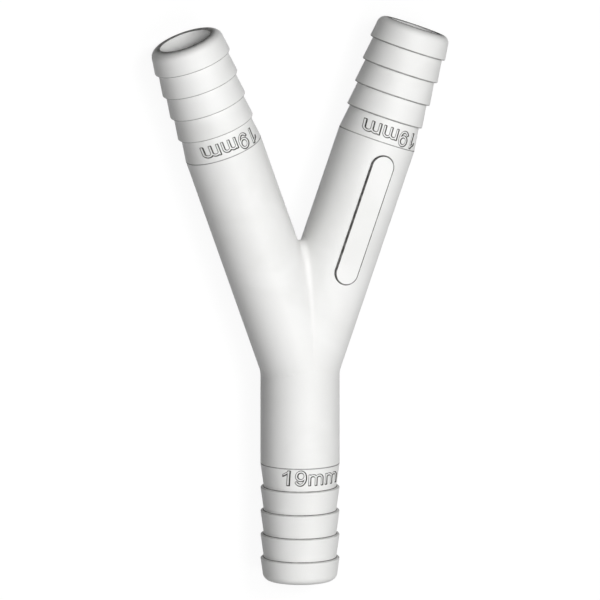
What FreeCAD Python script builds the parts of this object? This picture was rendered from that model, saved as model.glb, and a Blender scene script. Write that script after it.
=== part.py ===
"""Y connector for flexible hose: one moulding of white glass-filled nylon with three barbed tails.

A stem and two arms of the same tube meet at one point, the arms leaning the same angle to either
side of the stem's line. Every limb ends in the same tail: a neck cone and four barbs that taper
towards the tip, with their square shoulders facing the junction, and a rounded nose. A low flat
panel with round ends stands up from the crown of the right arm.

Frame: the moulding lies flat with its three axes parallel to XY and the raised panel up.
+Y runs along the stem towards the arms, +X towards the arm that carries the panel, +Z up.
The origin is the centre of the bounding box's bottom face. Millimetres.
"""

import math
import os

import FreeCAD, Part
import Sketcher

Vector = FreeCAD.Vector
Z_AXIS = Vector(0, 0, 1)
NODE = "y_connector"

doc = FreeCAD.newDocument(NODE)

# Driving sizes: alias, value, meaning
SIZES = [
    ("hose_bore", 19.0, "bore of the hose that fits, and the root of every barb"),
    ("barb_height", 0.85, "barb crests above their root; the plain limbs are as thick as the crests"),
    ("wall", 2.5, "from a barb's root in to the waterway"),
    ("arm_angle", 20.0, "lean of each arm from the stem's line, degrees"),
    ("stem_plain", 26.0, "junction to the start of the stem's neck cone"),
    ("arm_plain", 62.5, "junction to the start of an arm's neck cone"),
    ("barb_count", 4, "barbs on each tail"),
    ("barb_pitch", 6.25, "shoulder to shoulder, and the length of the neck cone"),
    ("nose_length", 6.15, "last shoulder to the end of the tail"),
    ("nose_round", 2.1, "rounding of the outer rim of each end"),
    ("crest_break", 0.2, "bevel that takes the sharpness off each barb's crest"),
    ("crotch_round", 1.45, "blend in the crotch between the arms"),
    ("bend_round", 5.0, "blend where each arm leaves the stem"),
    ("panel_length", 35.4, "raised panel, end to end"),
    ("panel_width", 6.25, "raised panel across the arm, with full round ends"),
    ("panel_gap", 3.15, "raised panel's end to the arm's neck cone"),
    ("panel_rise", 0.25, "flat top of the panel above the arm's crown"),
    ("cutter_margin", 1.0, "how far cutting profiles run clear of the material"),
]

sheet = doc.addObject("Spreadsheet::Sheet", "sizes")
for row, (alias, size, meaning) in enumerate(SIZES, start=1):
    sheet.set(f"A{row}", meaning)
    sheet.set(f"B{row}", str(size))
    sheet.setAlias(f"B{row}", alias)
doc.recompute()

# Sizes that follow from the sheet, as expressions
ROOT_RADIUS = "sizes.hose_bore / 2"
TUBE_RADIUS = f"({ROOT_RADIUS} + sizes.barb_height)"
BORE_RADIUS = f"({ROOT_RADIUS} - sizes.wall)"
BARBS_LENGTH = "sizes.barb_count * sizes.barb_pitch"
TAIL_LENGTH = f"({BARBS_LENGTH} + sizes.nose_length)"

# The limbs: name, turn of the limb's own line from +Y (degrees), junction to neck cone
LIMBS = [
    ("stem", "180", "sizes.stem_plain"),
    ("right_arm", "-sizes.arm_angle", "sizes.arm_plain"),
    ("left_arm", "sizes.arm_angle", "sizes.arm_plain"),
]

# Edges are picked out by their place, to this distance
PICK_TOLERANCE = 0.01

body = doc.addObject("PartDesign::Body", "moulding")
body.Label = NODE


def amount(expression):
    """What an expression over the sheet comes to."""
    return float(body.evalExpression(expression))


def origin_plane(role):
    """The body's own datum plane with this role."""
    return next(f for f in body.Origin.OriginFeatures if f.Role == role)


def limb_sketch(name, turn):
    """A sketch on the plane of the three axes, turned so that its vertical axis runs out along a limb."""
    sketch = body.newObject("Sketcher::SketchObject", name)
    sketch.AttachmentSupport = [(origin_plane("XY_Plane"), "")]
    sketch.MapMode = "FlatFace"
    sketch.AttachmentOffset = FreeCAD.Placement(Vector(), FreeCAD.Rotation(Z_AXIS, 0))
    sketch.setExpression("AttachmentOffset.Rotation.Angle", turn)
    return sketch


def bind(sketch, kind, points, name, expression):
    """Adds a named dimension to a sketch and ties it to the sheet."""
    index = sketch.addConstraint(Sketcher.Constraint(kind, *points, amount(expression)))
    sketch.renameConstraint(index, name)
    sketch.setExpression("Constraints." + name, expression)


def draw_outline(sketch, points):
    """A closed outline of straight lines through the points."""
    count = len(points)
    for index in range(count):
        following = points[(index + 1) % count]
        sketch.addGeometry(Part.LineSegment(points[index], following), False)
    for index in range(count):
        sketch.addConstraint(Sketcher.Constraint("Coincident", index, 2, (index + 1) % count, 1))


def draw_corners(sketch, corners):
    """A closed outline in which each corner is (name, distance from the limb's line, distance along it)."""
    draw_outline(sketch, [Vector(amount(across), amount(along), 0) for name, across, along in corners])
    for index, (name, across, along) in enumerate(corners):
        bind(sketch, "DistanceX", (-1, 1, index, 1), name + "_across", across)
        bind(sketch, "DistanceY", (-1, 1, index, 1), name + "_along", along)


def draw_half_section(sketch, radius, length):
    """A rectangle from the limb's line out to a radius, and from the junction out to a length."""
    wide, long = amount(radius), amount(length)
    draw_outline(sketch, [Vector(), Vector(wide, 0, 0), Vector(wide, long, 0), Vector(0, long, 0)])
    sketch.addConstraint(Sketcher.Constraint("Horizontal", 0))
    sketch.addConstraint(Sketcher.Constraint("Vertical", 1))
    sketch.addConstraint(Sketcher.Constraint("Horizontal", 2))
    sketch.addConstraint(Sketcher.Constraint("Vertical", 3))
    sketch.addConstraint(Sketcher.Constraint("Coincident", 0, 1, -1, 1))
    bind(sketch, "DistanceX", (0, 1, 0, 2), "radius", radius)
    bind(sketch, "DistanceY", (1, 1, 1, 2), "length", length)


def revolve(kind, name, sketch):
    """A Revolution or a Groove of a half section, full circle about the limb's own line. The two
    angles add up to the circle, and put the line where it closes on the underside."""
    feature = body.newObject("PartDesign::" + kind, name)
    feature.Profile = sketch
    feature.ReferenceAxis = (sketch, ["V_Axis"])
    feature.Type = "TwoAngles"
    feature.Angle = 90
    feature.Angle2 = 270
    doc.recompute()
    return feature


def dress_edges(kind, name, wanted, size):
    """A Fillet of a radius, or a Chamfer of a size, on the edges that a test picks out."""
    names = []
    for index, edge in enumerate(body.Tip.Shape.Edges, start=1):
        # Where a blend runs out to nothing it leaves an edge of no length
        if not edge.Degenerated and wanted(edge):
            names.append(f"Edge{index}")
    base = body.Tip
    feature = body.newObject("PartDesign::" + kind, name)
    feature.Base = (base, names)
    feature.setExpression("Radius" if kind == "Fillet" else "Size", size)
    doc.recompute()


# Plain limbs: three tubes, solid for now, that share the junction point
for limb, turn, plain in LIMBS:
    outline = limb_sketch(limb + "_outline", turn)
    draw_half_section(outline, TUBE_RADIUS, f"{plain} + {TAIL_LENGTH}")
    revolve("Revolution", limb + "_tube", outline)


def is_seam(edge):
    """The curved lines where two limbs meet are the only elliptical edges."""
    return isinstance(edge.Curve, Part.Ellipse)


def is_crotch(edge):
    """The seam between the arms lies in the mid plane."""
    return is_seam(edge) and edge.BoundBox.XLength < PICK_TOLERANCE


def is_bend(edge):
    """The seams between the stem and the arms cross the mid plane only at the crowns."""
    return is_seam(edge) and not is_crotch(edge)


# Blends of the moulding at the junction
dress_edges("Fillet", "crotch_blend", is_crotch, "sizes.crotch_round")
dress_edges("Fillet", "bend_blend", is_bend, "sizes.bend_round")

# Barbs: one tapering cut takes the tube down to the hose bore and leaves a square shoulder;
# its copies along the limb make the neck cone and all barbs but the last, whose taper runs
# on to the end of the tail
for limb, turn, plain in LIMBS:
    clear = f"{TUBE_RADIUS} + sizes.cutter_margin"
    shoulder = f"{plain} + sizes.barb_pitch"
    ramp = limb_sketch(limb + "_ramp", turn)
    draw_corners(ramp, [
        ("crest", TUBE_RADIUS, plain),
        ("root", ROOT_RADIUS, shoulder),
        ("clear_root", clear, shoulder),
        ("clear_crest", clear, plain),
    ])
    cut = revolve("Groove", limb + "_ramp_cut", ramp)
    barbs = body.newObject("PartDesign::LinearPattern", limb + "_barbs")
    barbs.Originals = [cut]
    barbs.Direction = (ramp, ["V_Axis"])
    barbs.Mode = "Spacing"
    barbs.setExpression("Offset", "sizes.barb_pitch")
    barbs.setExpression("Occurrences", "sizes.barb_count")
    body.Tip = barbs
    doc.recompute()

    last_crest = f"{plain} + {BARBS_LENGTH}"
    run = "(sizes.nose_length + sizes.cutter_margin)"
    tip_radius = f"{TUBE_RADIUS} - sizes.barb_height * {run} / sizes.barb_pitch"
    past_end = f"{last_crest} + {run}"
    nose = limb_sketch(limb + "_nose", turn)
    draw_corners(nose, [
        ("crest", TUBE_RADIUS, last_crest),
        ("tip", tip_radius, past_end),
        ("clear_tip", clear, past_end),
        ("clear_crest", clear, last_crest),
    ])
    revolve("Groove", limb + "_nose_cut", nose)


def rims(stations, smallest):
    """A test for round edges about a limb's line, at distances past its neck cone's start."""
    centres = []
    for limb, turn, plain in LIMBS:
        line = doc.getObject(limb + "_ramp").Placement.Rotation.multVec(Vector(0, 1, 0))
        centres += [line * (amount(plain) + station) for station in stations]

    def wanted(edge):
        if not isinstance(edge.Curve, Part.Circle) or edge.Curve.Radius < smallest:
            return False
        return any(edge.Curve.Center.isEqual(centre, PICK_TOLERANCE) for centre in centres)

    return wanted


# Rounded noses and barb crests; a shoulder has a rim at its crest and another at its root
tips = [amount(TAIL_LENGTH)]
crests = [amount("sizes.barb_pitch") * (index + 1) for index in range(int(amount("sizes.barb_count")))]
above_root = amount(f"{ROOT_RADIUS} + sizes.barb_height / 2")
dress_edges("Fillet", "nose_rounds", rims(tips, 0), "sizes.nose_round")
dress_edges("Chamfer", "crest_bevels", rims(crests, above_root), "sizes.crest_break")

# Raised panel along the crown of the right arm: a strip with round ends that grows from the arm's
# axis, so that it meets the round wall all the way along
PANEL_CENTRES = "sizes.panel_length - sizes.panel_width"
PANEL_FAR_CENTRE = "sizes.arm_plain - sizes.panel_gap - sizes.panel_width / 2"
half = amount("sizes.panel_width / 2")
far = amount(PANEL_FAR_CENTRE)
near = far - amount(PANEL_CENTRES)
panel = limb_sketch("panel_outline", "-sizes.arm_angle")
panel.addGeometry(Part.LineSegment(Vector(half, near, 0), Vector(half, far, 0)), False)
far_end = Part.Circle(Vector(0, far, 0), Z_AXIS, half)
panel.addGeometry(Part.ArcOfCircle(far_end, 0, math.pi), False)
panel.addGeometry(Part.LineSegment(Vector(-half, far, 0), Vector(-half, near, 0)), False)
near_end = Part.Circle(Vector(0, near, 0), Z_AXIS, half)
panel.addGeometry(Part.ArcOfCircle(near_end, math.pi, 2 * math.pi), False)
for index in range(4):
    panel.addConstraint(Sketcher.Constraint("Tangent", index, 2, (index + 1) % 4, 1))
panel.addConstraint(Sketcher.Constraint("Vertical", 0))
panel.addConstraint(Sketcher.Constraint("PointOnObject", 1, 3, -2))
panel.addConstraint(Sketcher.Constraint("Equal", 1, 3))
bind(panel, "Radius", (1,), "end_radius", "sizes.panel_width / 2")
bind(panel, "DistanceY", (3, 3, 1, 3), "between_centres", PANEL_CENTRES)
bind(panel, "DistanceY", (-1, 1, 1, 3), "far_centre", PANEL_FAR_CENTRE)
raised = body.newObject("PartDesign::Pad", "panel_pad")
raised.Profile = panel
raised.setExpression("Length", f"{TUBE_RADIUS} + sizes.panel_rise")
doc.recompute()

# Waterway: three equal bores that meet at the junction and run out through the noses
for limb, turn, plain in LIMBS:
    bore = limb_sketch(limb + "_bore", turn)
    draw_half_section(bore, BORE_RADIUS, f"{plain} + {TAIL_LENGTH} + sizes.cutter_margin")
    revolve("Groove", limb + "_bore_cut", bore)

# The moulding lies on its tubes: its lowest line is the floor, and the origin is under its middle
extent = body.Shape.optimalBoundingBox(False, False)
body.Placement.Base = Vector(-extent.Center.x, -extent.Center.y, -extent.ZMin)
doc.recompute()

for item in doc.Objects:
    if "Invalid" in item.State or "Error" in item.State:
        raise RuntimeError(f"{item.Label} failed: {item.State}")
if body.Shape.isNull() or not body.Shape.isValid() or len(body.Shape.Solids) != 1:
    raise RuntimeError(f"{body.Label} is not one valid solid")

os.makedirs("parts", exist_ok=True)
body.Shape.exportStep(os.path.join("parts", body.Label + ".step"))
extent = body.Shape.optimalBoundingBox(False, False)
print(f"{body.Label}: {extent.XLength:.2f} x {extent.YLength:.2f} x {extent.ZLength:.2f} mm,"
      f" volume {body.Shape.Volume:.0f} mm3")
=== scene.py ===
import bpy
import numpy as np
from mathutils import Matrix, Vector


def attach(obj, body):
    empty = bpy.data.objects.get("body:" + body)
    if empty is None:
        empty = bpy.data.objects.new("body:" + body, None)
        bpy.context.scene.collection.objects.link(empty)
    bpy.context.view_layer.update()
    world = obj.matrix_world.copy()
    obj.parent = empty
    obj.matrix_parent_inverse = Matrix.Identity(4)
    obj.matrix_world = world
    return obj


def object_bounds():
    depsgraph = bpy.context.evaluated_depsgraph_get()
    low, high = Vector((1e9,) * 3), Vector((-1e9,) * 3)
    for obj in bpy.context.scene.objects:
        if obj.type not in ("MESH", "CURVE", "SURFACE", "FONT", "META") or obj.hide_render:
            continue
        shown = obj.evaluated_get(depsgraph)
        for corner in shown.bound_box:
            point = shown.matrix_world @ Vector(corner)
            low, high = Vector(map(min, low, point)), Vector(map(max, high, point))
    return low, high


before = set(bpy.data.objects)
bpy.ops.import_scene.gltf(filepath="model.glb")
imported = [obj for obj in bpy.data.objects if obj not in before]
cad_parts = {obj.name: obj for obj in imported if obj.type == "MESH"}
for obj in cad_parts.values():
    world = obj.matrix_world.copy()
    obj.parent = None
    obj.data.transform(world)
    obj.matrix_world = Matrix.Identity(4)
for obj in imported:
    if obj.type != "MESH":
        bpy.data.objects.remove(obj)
cad_box = [list(corner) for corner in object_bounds()]

# The moulding. One injection moulding in white nylon filled with short glass
# fibre: stem, two arms and three barbed tails round one waterway. The mould's
# spark-eroded steel leaves a fine satin grain. Shade is painted dark into the
# corners and along edges and lines, and light is painted pale into the bores.
MM = 0.001
NECK_RADIUS = 10.35 * MM          # the plain limbs, and the neck cone where it starts
ROOT_RADIUS = 9.5 * MM            # one pitch further, at the first barb's root
CREST_RADIUS = 10.25 * MM         # the middle of the crests' bevels
CREST_BREAK = 0.2 * MM            # the bevel along a crest
BARB_PITCH = 6.25 * MM
BARB_COUNT = 4                    # square shoulders on each tail
TAIL_LENGTH = 31.15 * MM
BORE_RADIUS = 7.0 * MM
STEM_PLAIN = 26.0 * MM            # plain limb, from the junction to the tail
ARM_PLAIN = 62.5 * MM
ARM_ANGLE = np.radians(20.0)      # each arm off the stem's line
PANEL_MIDDLE = 41.65 * MM         # along the arm, from the junction
PANEL_STRAIGHT = 14.575 * MM      # half of the panel's straight sides
PANEL_END_RADIUS = 3.125 * MM
AXIS_HEIGHT = NECK_RADIUS         # the moulding lies on its limbs
JUNCTION_Y = cad_box[0][1] + TAIL_LENGTH + STEM_PLAIN     # where the three centre lines meet

NYLON_PALE = (0.885, 0.885, 0.875, 1.0)
NYLON_DEEP = (0.835, 0.835, 0.822, 1.0)
# painted light: a paler white for the insides of the bores, which lie in shade
BORE_PAINTED_LIGHT = (0.965, 0.965, 0.955, 1.0)
FLECK_WHITE = (0.93, 0.93, 0.93, 1.0)
# painted shade: the near-black that the shade lines are mixed towards
PAINTED_SHADE_COLOUR = (0.05, 0.048, 0.045, 1.0)
FLECK_SHOWS = 0.35                # how much of its white a fibre shows through the skin
NYLON_IOR = 1.53
GRAIN_SPECULAR = 0.3              # the grain's pits swallow part of the surface reflection
SATIN_LOW, SATIN_HIGH = 0.40, 0.50        # the roughness, over the grain's noise
SHADE_ROUGHENS, FLECK_SMOOTHS = 0.3, -0.10         # added to the roughness
GRAIN_STRENGTH = 0.35
GRAIN_DEPTH = 0.02 * MM
PIT_SIZE = 0.28 * MM
PEEL_SIZE = 5.0 * MM
PEEL_SHARE = 1.5                  # the peel's height against the pits'
DRIFT_SIZE = 18.0 * MM
FIBRE_WIDTH = 0.16 * MM
NOISE_LOW, NOISE_HIGH = 0.3, 0.7          # most of a noise lies between these
FLECK_LOW, FLECK_HIGH = 0.64, 0.74        # and only its peaks past these

# each painted shade mark's strength, how far from its line it stays full, and how far out it ends
ROOT_SHADE = (0.97, 0.05 * MM, 0.23 * MM)
FACE_SHADE = (0.30, 0.06 * MM, 0.20 * MM)
CREST_SHADE = (0.65, 0.08 * MM, 0.24 * MM)
NECK_SHADE = (0.78, 0.05 * MM, 0.20 * MM)
MOUTH_SHADE = (0.90, 0.12 * MM, 0.36 * MM)
PANEL_FOOT_SHADE = (0.97, 0.13 * MM, 0.26 * MM)
STEM_CREST_SHADE = 0.4                    # the painted shade along the stem's crests is weaker than along the arms'
NOSE_START, NOSE_FULL = 1.3 * MM, 0.1 * MM        # the nose's painted shade, back from the tip
NOSE_INNER, NOSE_OUTER = 0.3 * MM, 2.0 * MM       # and out from the bore
NOSE_SHADE, NOSE_SHADE_LEAST = 0.93, 0.12       # its strength from there to there, outwards
PANEL_INSET = 0.03 * MM           # the painted shade line lies this far inside the panel's outline
BORE_MARGIN = 0.02 * MM           # more than the mesh's flats stray from the round
PATCH_SCALE = 700.0               # patches of thinner painted shade, to the metre
PATCH_LOW, PATCH_HIGH = 0.2, 0.6
PATCH_KEEPS = 0.75                # the share of the painted shade that is left in them


def plug_in(tree, node, sockets):
    """Feed a node's inputs, each by another node's output or with a value."""
    for name, value in dict(sockets).items():
        if isinstance(value, bpy.types.NodeSocket):
            tree.links.new(value, node.inputs[name])
        else:
            node.inputs[name].default_value = value


def add_node(tree, kind, sockets=(), **settings):
    """One shader node, with its settings as attributes and its inputs plugged in."""
    made = tree.nodes.new("ShaderNode" + kind)
    for name, value in settings.items():
        setattr(made, name, value)
    plug_in(tree, made, sockets)
    return made


def maths(tree, operation, *values):
    """The output of one Math node that works on the values."""
    return add_node(tree, "Math", enumerate(values), operation=operation).outputs[0]


def ramp(tree, value, low, high, at_low=0.0, at_high=1.0):
    """The value carried smoothly from at_low, at low, to at_high, at high."""
    sockets = {"Value": value, "From Min": low, "From Max": high,
               "To Min": at_low, "To Max": at_high}
    return add_node(tree, "MapRange", sockets, interpolation_type="SMOOTHSTEP").outputs["Result"]


def mixed(tree, share, first, second):
    """The first colour, with that share of it replaced by the second."""
    sockets = {"Factor": share, "A": first, "B": second}
    return add_node(tree, "Mix", sockets, data_type="RGBA").outputs["Result"]


def noise(tree, place, size, **inputs):
    """Noise with features of that size."""
    sockets = {"Vector": place, "Scale": maths(tree, "DIVIDE", 1.0, size), **inputs}
    return add_node(tree, "TexNoise", sockets).outputs["Fac"]


def new_group(name, inputs, outputs):
    """An empty shader group with named sockets. Returns it with its input and output nodes."""
    group = bpy.data.node_groups.new(name, "ShaderNodeTree")
    for label, kind, default in inputs:
        socket = group.interface.new_socket(label, in_out="INPUT", socket_type="NodeSocket" + kind)
        if default is not None:
            socket.default_value = default
    for label, kind in outputs:
        group.interface.new_socket(label, in_out="OUTPUT", socket_type="NodeSocket" + kind)
    take = group.nodes.new("NodeGroupInput").outputs
    give = group.nodes.new("NodeGroupOutput").inputs
    return group, take, give


def use_group(tree, group, sockets):
    """The outputs of a group placed in a material with its own values."""
    made = tree.nodes.new("ShaderNodeGroup")
    made.node_tree = group
    plug_in(tree, made, sockets)
    return made.outputs


# Moulded grain: two sizes of noise, the fine pits of spark-eroded steel over a slow orange peel.
moulded_grain, take, give = new_group(
    "moulded_grain",
    [("Place", "Vector", None), ("Pit Size", "Float", PIT_SIZE), ("Peel Size", "Float", PEEL_SIZE)],
    [("Height", "Float"), ("Pits", "Float")])
pits = noise(moulded_grain, take["Place"], take["Pit Size"], Detail=3.0, Roughness=0.6)
peel = noise(moulded_grain, take["Place"], take["Peel Size"], Detail=1.0)
height = maths(moulded_grain, "MULTIPLY_ADD", peel, PEEL_SHARE, pits)
moulded_grain.links.new(pits, give["Pits"])
moulded_grain.links.new(height, give["Height"])

# Flow tone: the melt's slow, faint drift between two whites, drawn out by a warped noise.
flow_tone, take, give = new_group(
    "flow_tone",
    [("Place", "Vector", None), ("Pale", "Color", None), ("Deep", "Color", None),
     ("Size", "Float", DRIFT_SIZE)],
    [("Color", "Color")])
drift = noise(flow_tone, take["Place"], take["Size"], Detail=2.0, Distortion=0.8)
depth = ramp(flow_tone, drift, NOISE_LOW, NOISE_HIGH)
flow_tone.links.new(mixed(flow_tone, depth, take["Pale"], take["Deep"]), give["Color"])

# Glass flecks: short bright strokes where fibres lie just under the skin, a drawn-out noise cut
# off so that only its peaks are left.
glass_fleck, take, give = new_group(
    "glass_fleck",
    [("Place", "Vector", None), ("Fibre Width", "Float", FIBRE_WIDTH)],
    [("Mask", "Float")])
drawn = add_node(glass_fleck, "VectorMath", {0: take["Place"], 1: (1.0, 0.2, 1.0)},
                 operation="MULTIPLY").outputs["Vector"]
strokes = noise(glass_fleck, drawn, take["Fibre Width"], Detail=1.0)
glass_fleck.links.new(ramp(glass_fleck, strokes, FLECK_LOW, FLECK_HIGH), give["Mask"])


def length_of(tree, a, b):
    """The length of the flat vector (a, b)."""
    pair = add_node(tree, "CombineXYZ", {0: a, 1: b}).outputs[0]
    return add_node(tree, "VectorMath", {0: pair}, operation="LENGTH").outputs["Value"]


def turned(tree, x, y, angle):
    """(x, y) measured along and across a line that leans by that angle from +Y towards +X."""
    sine, cosine = np.sin(angle), np.cos(angle)
    along = maths(tree, "MULTIPLY_ADD", x, sine, maths(tree, "MULTIPLY", y, cosine))
    across = maths(tree, "MULTIPLY_ADD", y, -sine, maths(tree, "MULTIPLY", x, cosine))
    return along, across


def fading(tree, distance, mark):
    """A mark's strength at that distance from its line: all of it as far as the first distance, and
    none of it past the second."""
    strength, full, end = mark
    return ramp(tree, distance, full, end, strength, 0.0)


def strongest(tree, *masks):
    """The greatest of several masks at each point."""
    greatest = masks[0]
    for mask in masks[1:]:
        greatest = maths(tree, "MAXIMUM", greatest, mask)
    return greatest


def corner_shade_group():
    """Painted shade on the moulding, as a shader group that works it out from the place. On its
    tail a point is so far past the neck line, and so far from the centre line. Each mark is
    strongest where its distance from a shoulder, a line or an edge is nothing, and fades with it.
    The painted shade is the strongest of the marks, a little patchy, and Inside is 1 in the bores."""
    group, take, give = new_group("corner_shade", [("Place", "Vector", None)],
                                  [("Painted Shade", "Float"), ("Inside", "Float")])
    x, y, z = add_node(group, "SeparateXYZ", {0: take["Place"]}).outputs[:3]
    beside = maths(group, "ABSOLUTE", x)
    rise = maths(group, "SUBTRACT", y, JUNCTION_Y)
    height = maths(group, "SUBTRACT", z, AXIS_HEIGHT)
    arm_along, arm_across = turned(group, beside, rise, ARM_ANGLE)
    arm_past = maths(group, "SUBTRACT", arm_along, ARM_PLAIN)
    stem_past = maths(group, "SUBTRACT", maths(group, "MULTIPLY", rise, -1.0), STEM_PLAIN)
    on_arm = maths(group, "GREATER_THAN", arm_past, stem_past)
    past = maths(group, "MAXIMUM", arm_past, stem_past)
    across = add_node(group, "Mix", {"Factor": on_arm, "A": beside, "B": arm_across}).outputs["Result"]
    radius = length_of(group, across, height)
    on_outside = maths(group, "GREATER_THAN", radius, BORE_RADIUS + BORE_MARGIN)

    # the barbs' shoulders stand at whole pitches past the neck line, from the first to the last
    turn = maths(group, "ROUND", maths(group, "DIVIDE", past, BARB_PITCH))
    from_shoulder = maths(group, "MULTIPLY_ADD", turn, -BARB_PITCH, past)
    on_barbs = maths(group, "COMPARE", turn, (1 + BARB_COUNT) / 2, (BARB_COUNT - 1) / 2 + 0.1)
    # painted shade: dark in each barb's root corner and on its shoulder face
    from_root = maths(group, "SUBTRACT", radius, ROOT_RADIUS)
    root = fading(group, length_of(group, from_shoulder, from_root), ROOT_SHADE)
    from_crest = maths(group, "SUBTRACT", radius, CREST_RADIUS)
    above_face = maths(group, "MAXIMUM", from_crest, 0.0)
    face = fading(group, length_of(group, from_shoulder, above_face), FACE_SHADE)
    # painted shade: a dark line along each crest's bevel, weaker on the stem
    from_bevel = maths(group, "SUBTRACT", from_shoulder, CREST_BREAK / 2)
    crest = fading(group, length_of(group, from_bevel, from_crest), CREST_SHADE)
    crest_shade_share = maths(group, "MULTIPLY_ADD", on_arm, 1 - STEM_CREST_SHADE, STEM_CREST_SHADE)
    crest = maths(group, "MULTIPLY", crest, crest_shade_share)
    shoulder = maths(group, "MULTIPLY", on_barbs, strongest(group, root, face, crest))
    # painted shade: a dark line along the neck line, where the plain limb turns into the cone
    neck = fading(group, maths(group, "ABSOLUTE", past), NECK_SHADE)

    # painted shade darkens the nose towards the tip and the mouth, and the mouth's inner edge
    near_tip = ramp(group, past, TAIL_LENGTH - NOSE_START, TAIL_LENGTH - NOSE_FULL)
    near_mouth = ramp(group, radius, BORE_RADIUS + NOSE_INNER, BORE_RADIUS + NOSE_OUTER,
                      NOSE_SHADE, NOSE_SHADE_LEAST)
    nose = maths(group, "MULTIPLY", near_tip, near_mouth)
    from_tip = maths(group, "SUBTRACT", past, TAIL_LENGTH)
    from_bore = maths(group, "SUBTRACT", radius, BORE_RADIUS)
    mouth_edge = fading(group, length_of(group, from_tip, from_bore), MOUTH_SHADE)

    # the raised panel is a bar with round ends, and painted shade lies along its foot, where the
    # distance outside is nothing
    along, beside_arm = turned(group, x, rise, ARM_ANGLE)
    from_middle = maths(group, "ABSOLUTE", maths(group, "SUBTRACT", along, PANEL_MIDDLE))
    past_straight = maths(group, "MAXIMUM", maths(group, "SUBTRACT", from_middle, PANEL_STRAIGHT), 0.0)
    outside = maths(group, "SUBTRACT", length_of(group, past_straight, beside_arm),
                    PANEL_END_RADIUS - PANEL_INSET)
    foot = fading(group, maths(group, "ABSOLUTE", outside), PANEL_FOOT_SHADE)
    foot = maths(group, "MULTIPLY", foot, maths(group, "GREATER_THAN", height, 0.0))

    outer = maths(group, "MULTIPLY", strongest(group, shoulder, neck, nose, foot), on_outside)
    # the painted shade is made a little patchy by a noise
    patchy = add_node(group, "TexNoise", {"Vector": take["Place"], "Scale": PATCH_SCALE}).outputs["Fac"]
    kept = ramp(group, patchy, PATCH_LOW, PATCH_HIGH, PATCH_KEEPS, 1.0)
    painted_shade = maths(group, "MULTIPLY", strongest(group, outer, mouth_edge), kept)
    group.links.new(painted_shade, give["Painted Shade"])
    # Inside is 1 in the bores, where light is painted in as a paler white
    group.links.new(maths(group, "SUBTRACT", 1.0, on_outside), give["Inside"])
    return group


corner_shade = corner_shade_group()


def nylon_material(name, wall_shade_attribute=""):
    """White glass-filled nylon with a satin grain, and shade painted dark into its corners and along
    its edges. Inside the bores light is painted in as a paler skin. Its second argument names an
    attribute with more painted shade to add."""
    material = bpy.data.materials.new(name)
    material.use_nodes = True
    tree = material.node_tree
    tree.nodes.clear()
    place = add_node(tree, "TexCoord").outputs["Object"]
    tone = use_group(tree, flow_tone, {"Place": place, "Pale": NYLON_PALE, "Deep": NYLON_DEEP,
                                       "Size": DRIFT_SIZE})["Color"]
    grain = use_group(tree, moulded_grain, {"Place": place, "Pit Size": PIT_SIZE,
                                            "Peel Size": PEEL_SIZE})
    fleck = use_group(tree, glass_fleck, {"Place": place, "Fibre Width": FIBRE_WIDTH})["Mask"]
    corners = use_group(tree, corner_shade, {"Place": place})
    # painted shade from the corners, lines and edges, with the walls' own painted shade added
    painted_shade_mask = corners["Painted Shade"]
    if wall_shade_attribute:
        walls = add_node(tree, "Attribute", attribute_name=wall_shade_attribute, attribute_type="GEOMETRY")
        painted_shade_mask = maths(tree, "MAXIMUM", walls.outputs["Fac"], painted_shade_mask)
    flecked = mixed(tree, maths(tree, "MULTIPLY", fleck, FLECK_SHOWS), tone, FLECK_WHITE)
    # painted light: the bores take the paler white
    clean = mixed(tree, corners["Inside"], flecked, BORE_PAINTED_LIGHT)
    # painted shade: the colour goes towards near-black where the shade is painted
    colour = mixed(tree, painted_shade_mask, clean, PAINTED_SHADE_COLOUR)
    satin = ramp(tree, grain["Pits"], NOISE_LOW, NOISE_HIGH, SATIN_LOW, SATIN_HIGH)
    satin = maths(tree, "MULTIPLY_ADD", fleck, FLECK_SMOOTHS, satin)
    rough = maths(tree, "MULTIPLY_ADD", painted_shade_mask, SHADE_ROUGHENS, satin)
    bump = add_node(tree, "Bump", {"Strength": GRAIN_STRENGTH, "Distance": GRAIN_DEPTH,
                                   "Height": grain["Height"]}).outputs["Normal"]
    skin = add_node(tree, "BsdfPrincipled", {"Base Color": colour, "Roughness": rough,
                                             "Normal": bump, "IOR": NYLON_IOR,
                                             "Specular IOR Level": GRAIN_SPECULAR})
    out = tree.nodes.new("ShaderNodeOutputMaterial")
    tree.links.new(skin.outputs["BSDF"], out.inputs["Surface"])
    return material


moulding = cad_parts["y_connector"]
body_nylon = nylon_material("white_nylon_moulding")
for slot in moulding.material_slots:
    slot.material = body_nylon

# The size marks. Each tail's neck cone carries the hose's bore in sunk figures,
# which stand up on the mould's steel. Their sides run square to the parting
# plane, with a little draft so that the moulding leaves the steel.
STROKE = 0.64 * MM                # across the middle of a stroke's walls
CORNER = 0.10 * MM                # the round on a stroke's corners
DRAFT_WIDTH = 0.10 * MM           # a wall seen from above
TOP_LINE = 0.44 * MM              # of the figures, from the neck line
SMALL_LINE = 1.48 * MM            # the top of the small letters' arches
LEG_LINE = 1.50 * MM              # and of their first legs
FOOT_LINE = 4.54 * MM
ONE_MIDDLE = -6.17 * MM           # across the tail, from its crown line
FLAG = np.array([[-6.05, 0.74], [-7.4, 1.82]]) * MM       # the one's flag, as its middle line
FLAG_HALF = 0.27 * MM             # half its width
FLAG_END = -7.42 * MM             # where it is cut off upright
NINE_BOWL = np.array([-3.27, 1.88, 1.06, 1.16]) * MM      # its centre, and half its width and height
NINE_TAIL = np.array([-3.35, 2.45, 1.25, 1.84]) * MM
FIRST_LEGS = (-0.93 * MM, 3.88 * MM)      # of the two small letters
LEG_PITCH = 1.77 * MM
ARCH_RISE = 0.75 * MM

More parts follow.
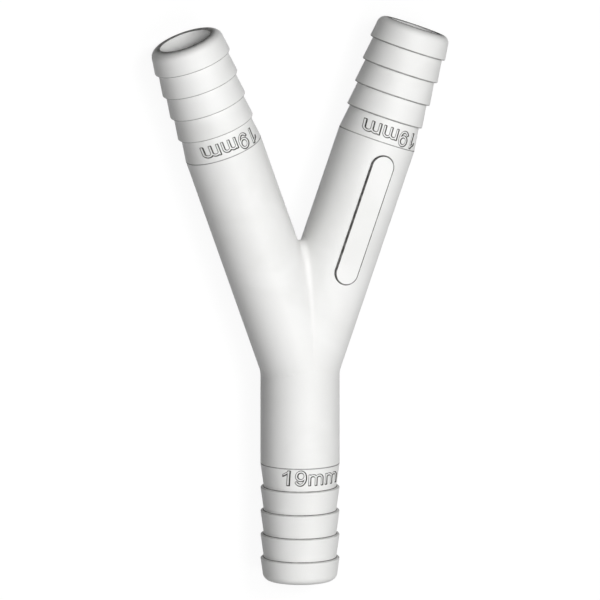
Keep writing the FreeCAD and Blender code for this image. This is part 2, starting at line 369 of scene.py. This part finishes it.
SKIN = 0.25 * MM                  # the skin round the figures, above the cone
FLOOR_SKIN = 0.02 * MM            # what is left of it under them
SKIN_MIDDLE = 0.16 * MM           # across the tail
SKIN_HALF = 7.8 * MM              # how far it has its full height to each side
SKIN_START, SKIN_END = 0.36 * MM, 4.8 * MM        # and from the neck line
RUN_OUT = 0.9 * MM                # where it thins to nothing
NECK_RUN_OUT = 0.34 * MM
RIM_DOWN, RIM_END = 1.2, 1.3      # in run-outs past the full height, where the rim is down and ends
SUNK = 0.10 * MM                  # how far the rim goes down into the cone
UNDERSIDE = 0.35 * MM             # the hidden underside, inside the wall
WALL_INSET = 0.03 * MM            # the painted shade along the walls lies this far inside the strokes
WALL_FULL, WALL_END = 0.09 * MM, 0.15 * MM        # and is full, and gone, so far from there
CELL = 0.055 * MM                 # of the grid that the skin is worked out on
GRID_LEFT, GRID_RIGHT = -9.0 * MM, 9.3 * MM       # the grid covers the skin and its rim
GRID_START, GRID_END = -0.08 * MM, 6.1 * MM


def upright(x, s, middle, top):
    """Distance outside an upright stroke that stands on the foot line: the distance outside the
    same bar made smaller by its corners' radius, less that radius."""
    dx = np.abs(x - middle) - STROKE / 2 + CORNER
    ds = np.abs(s - (top + FOOT_LINE) / 2) - (FOOT_LINE - top) / 2 + CORNER
    outside = np.hypot(np.maximum(dx, 0), np.maximum(ds, 0))
    return outside + np.minimum(np.maximum(dx, ds), 0) - CORNER


def swept(x, s, line, half=STROKE / 2):
    """Distance outside a stroke of that half width drawn along the points of its middle line: the
    nearest of all the line's short runs, less the half width."""
    a, b = line[:-1], line[1:]
    run = b - a
    to = np.stack([x, s], -1)[..., None, :] - a
    share = np.clip((to * run).sum(-1) / (run * run).sum(-1), 0, 1)
    return np.sqrt(((to - share[..., None] * run) ** 2).sum(-1)).min(-1) - half


def oval(shape, start, end, steps):
    """Points round part of an ellipse, with angles in degrees, 0 to the right and 90 to the tip."""
    middle_x, middle_s, half_width, half_height = shape
    angle = np.radians(np.linspace(start, end, steps))
    return np.stack([middle_x + half_width * np.cos(angle),
                     middle_s + half_height * np.sin(angle)], -1)


def figures(x, s):
    """Distance outside the mark 19mm, as the least distance of all its strokes. x goes across the
    tail and s from the neck line towards the tip."""
    flag = swept(x, s, FLAG, FLAG_HALF)
    strokes = [upright(x, s, ONE_MIDDLE, TOP_LINE),
               np.maximum(flag, FLAG_END - x),
               swept(x, s, oval(NINE_BOWL, 0, 360, 60)),
               swept(x, s, oval(NINE_TAIL, -20, 140, 40))]
    spring = SMALL_LINE + STROKE / 2 + ARCH_RISE
    for first_leg in FIRST_LEGS:
        strokes.append(upright(x, s, first_leg, LEG_LINE))
        for leg in (first_leg + LEG_PITCH, first_leg + 2 * LEG_PITCH):
            strokes.append(upright(x, s, leg, SMALL_LINE + ARCH_RISE))
            arch = (leg - LEG_PITCH / 2, spring, LEG_PITCH / 2, ARCH_RISE)
            strokes.append(swept(x, s, oval(arch, 180, 360, 30)))
    return np.minimum.reduce(strokes)


def mark_skin(x, s):
    """The skin over and round the figures, with a grid point (x, s) square to the parting plane.
    The upper height is the cone's surface pushed out by the skin, less the figures, whose share is
    1 inside their strokes and falls to 0 over the drafted wall. Where the skin has thinned to
    nothing, the rim sinks into the cone. The lower height is a smaller cone. The skin shades as the
    cone does, because its normals are the cone's, turned only by the figures' own walls. Returns
    both heights, the normals, the painted shade along the figures' walls and which points are in the
    mark."""
    off = figures(x, s)
    share = np.clip(0.5 - off / DRAFT_WIDTH, 0, 1)
    share = share * share * (3 - 2 * share)
    across = np.maximum(np.abs(x - SKIN_MIDDLE) - SKIN_HALF, 0) / RUN_OUT
    to_neck, to_tip = (SKIN_START - s) / NECK_RUN_OUT, (s - SKIN_END) / RUN_OUT
    beyond = np.hypot(across, np.maximum(np.maximum(to_neck, to_tip), 0))
    thin = np.clip(1 - beyond, 0, 1)
    skin = SKIN * thin * thin * (3 - 2 * thin)
    depth = np.maximum(skin - FLOOR_SKIN, 0)
    rim = -SUNK * np.clip((beyond - 1) / (RIM_DOWN - 1), 0, 1)
    lift = np.where(beyond < 1, skin - depth * share, rim)
    taper = (NECK_RADIUS - ROOT_RADIUS) / BARB_PITCH
    cone = NECK_RADIUS - taper * s
    upper = np.sqrt(np.maximum((cone + lift) ** 2 - x ** 2, 0))
    lower = np.sqrt(np.maximum((cone - UNDERSIDE) ** 2 - x ** 2, 0))
    steep_s, steep_x = np.gradient(-depth * share, CELL)
    normals = np.stack([x - cone * steep_x, cone * (taper - steep_s), upper], -1)
    normals /= np.linalg.norm(normals, axis=-1, keepdims=True)
    # painted shade: a dark band along the figures' outlines, over their walls and into their corners
    painted_shade = np.clip((WALL_END - np.abs(off + WALL_INSET)) / (WALL_END - WALL_FULL), 0, 1)
    return upper, lower, normals, painted_shade, beyond < RIM_END


def closed_faces(inside):
    """Faces of a closed shell over the grid's cells whose four points are inside: the cells on the
    upper points, the same cells turned over on the lower ones, which are numbered after them, and
    a rim face wherever a kept cell has a neighbour that isn't kept."""
    number = np.arange(inside.size).reshape(inside.shape)
    quads = np.stack([number[:-1, :-1], number[1:, :-1], number[1:, 1:], number[:-1, 1:]], -1)
    kept = inside[:-1, :-1] & inside[1:, :-1] & inside[:-1, 1:] & inside[1:, 1:]
    under = inside.size
    padded = np.pad(kept, 1)
    rims = []
    # each side of a cell has a neighbour there, and the two of its corners that they share
    for neighbour, (p, q) in ((padded[:-2, 1:-1], (3, 0)), (padded[1:-1, 2:], (2, 3)),
                              (padded[2:, 1:-1], (1, 2)), (padded[1:-1, :-2], (0, 1))):
        edge = quads[kept & ~neighbour]
        rims.append(np.stack([edge[:, q], edge[:, p], edge[:, p] + under, edge[:, q] + under], -1))
    return np.vstack([quads[kept], quads[kept][:, ::-1] + under, *rims])


def size_mark(name, along, plain):
    """One mark, on the tail that starts at the end of that plain length and runs in the direction
    along. The grid's points are laid across the tail, along it and upwards, and those that no face
    uses are left out."""
    x, s = np.meshgrid(np.arange(GRID_LEFT, GRID_RIGHT, CELL), np.arange(GRID_START, GRID_END, CELL))
    upper, lower, normals, painted_shade, inside = mark_skin(x, s)
    axes = np.array([(-along[1], along[0], 0.0), along, (0.0, 0.0, 1.0)])
    start = np.array([0.0, JUNCTION_Y, AXIS_HEIGHT]) + plain * along
    points = np.concatenate([(start + np.stack([x, s, z], -1) @ axes).reshape(-1, 3)
                             for z in (upper, lower)])
    normals = (normals @ axes).reshape(-1, 3)
    normals = np.concatenate([normals, -normals])
    painted_shade = np.concatenate([painted_shade.ravel(), np.zeros(inside.size)])
    used, faces = np.unique(closed_faces(inside), return_inverse=True)
    faces = faces.reshape(-1, 4)

    mesh = bpy.data.meshes.new(name)
    mesh.from_pydata(points[used], [], faces)
    # the wall attribute carries the painted shade along the figures' walls
    mesh.attributes.new("wall", "FLOAT", "POINT").data.foreach_set("value", painted_shade[used])
    mesh.polygons.foreach_set("use_smooth", np.ones(len(faces), bool))
    mesh.materials.append(mark_nylon)
    mesh.validate()
    mesh.update()
    mesh.normals_split_custom_set_from_vertices(normals[used].tolist())
    mark = bpy.data.objects.new(name, mesh)
    bpy.context.scene.collection.objects.link(mark)
    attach(mark, "root")


# the marks' material adds the painted shade from their wall attribute
mark_nylon = nylon_material("white_nylon_marks", "wall")
lean = np.array([np.sin(ARM_ANGLE), np.cos(ARM_ANGLE), 0.0])
size_mark("stem_size_mark", np.array([0.0, -1.0, 0.0]), STEM_PLAIN)
size_mark("right_arm_size_mark", lean, ARM_PLAIN)
size_mark("left_arm_size_mark", lean * (-1, 1, 1), ARM_PLAIN)

# The table: a wide matt sheet under the moulding. It shows white to the camera
# and in reflections, and returns little light to the moulding's underside.
TABLE_HALF = 3.0                  # metres, from its middle to an edge
TABLE_GREY = (0.12, 0.12, 0.12, 1.0)
TABLE_GLOW = 0.90                 # the white that it shows by itself


def seen_directly(tree):
    """1 for rays from the camera and for mirror and glass rays, 0 for the soft ones."""
    path = add_node(tree, "LightPath").outputs
    return strongest(tree, path["Is Glossy Ray"], path["Is Transmission Ray"], path["Is Camera Ray"])


table_mesh = bpy.data.meshes.new("table")
table_mesh.from_pydata([(-TABLE_HALF, -TABLE_HALF, 0), (TABLE_HALF, -TABLE_HALF, 0),
                        (TABLE_HALF, TABLE_HALF, 0), (-TABLE_HALF, TABLE_HALF, 0)], [],
                       [(0, 1, 2, 3)])
table = bpy.data.objects.new("table", table_mesh)
bpy.context.scene.collection.objects.link(table)
paper = bpy.data.materials.new("table_paper")
paper.use_nodes = True
sheet = paper.node_tree
sheet.nodes.clear()
matt_sheet = add_node(sheet, "BsdfDiffuse", {"Color": TABLE_GREY}).outputs["BSDF"]
shown = maths(sheet, "MULTIPLY", seen_directly(sheet), TABLE_GLOW)
glow = add_node(sheet, "Emission", {"Strength": shown}).outputs["Emission"]
both = add_node(sheet, "AddShader", {0: matt_sheet, 1: glow}).outputs[0]
sheet.links.new(both, sheet.nodes.new("ShaderNodeOutputMaterial").inputs["Surface"])
table_mesh.materials.append(paper)

# The studio: three soft boxes high over the moulding and a lower one beyond the
# stem's end, so that most of the light comes from above its upper side. The room
# is white where it shows.
LAMP_DISTANCE = 1.6
# name, elevation and azimuth from +X towards +Y in degrees, side in metres, power in watts
LAMPS = [
    ("camera_side_box", 68.0, 152.0, 0.3, 7.7),
    ("near_right_box", 70.0, 300.0, 0.8, 7.7),
    ("far_right_box", 65.0, 60.0, 0.8, 11.9),
    ("low_box", 35.0, 250.0, 0.8, 3.5),
]
scene = bpy.context.scene
aim = Vector((0.0, 0.0, AXIS_HEIGHT))
for name, elevation, azimuth, side, power in LAMPS:
    lamp = bpy.data.lights.new(name, "AREA")
    lamp.shape = "SQUARE"
    lamp.size = side
    lamp.energy = power
    lift, turn = np.radians((elevation, azimuth))
    away = Vector((np.cos(lift) * np.cos(turn), np.cos(lift) * np.sin(turn), np.sin(lift)))
    holder = bpy.data.objects.new(name, lamp)
    holder.location = aim + LAMP_DISTANCE * away
    holder.rotation_mode = "QUATERNION"
    holder.rotation_quaternion = away.to_track_quat("Z", "Y")
    holder.visible_camera = False
    scene.collection.objects.link(holder)

room = bpy.data.worlds.new("white_room")
room.use_nodes = True
walls = room.node_tree
walls.nodes.clear()
backdrop = add_node(walls, "Background", {"Color": (1.0, 1.0, 1.0, 1.0),
                                          "Strength": seen_directly(walls)}).outputs["Background"]
walls.links.new(backdrop, walls.nodes.new("ShaderNodeOutputWorld").inputs["Surface"])
scene.world = room

# The camera: parallel, as in a technical view, turned 20 degrees to the stem's
# left and tilted 10 degrees up from square on to the moulding's upper side.
TURN, TILT = np.radians(20.0), np.radians(10.1)
FRAME_WIDTH = 156.86 * MM
MIDDLE_UP = 16.87 * MM            # the frame's centre above the junction, in the camera's own up
CAMERA_AWAY = 0.5                 # metres, and a parallel view is the same from any distance

right = Vector((np.cos(TURN), 0.0, np.sin(TURN)))
toward = Vector((-np.cos(TILT) * np.sin(TURN), np.sin(TILT), np.cos(TILT) * np.cos(TURN)))
up = toward.cross(right)
lens = bpy.data.cameras.new("camera")
lens.type = "ORTHO"
lens.ortho_scale = FRAME_WIDTH
lens.clip_start, lens.clip_end = 0.01, 10.0
camera = bpy.data.objects.new("camera", lens)
middle = Vector((0.0, JUNCTION_Y, AXIS_HEIGHT)) + MIDDLE_UP * up
camera.matrix_world = Matrix.Translation(middle + CAMERA_AWAY * toward) @ Matrix(
    (right, up, toward)).transposed().to_4x4()
scene.collection.objects.link(camera)
scene.camera = camera
scene.view_settings.view_transform = "Standard"
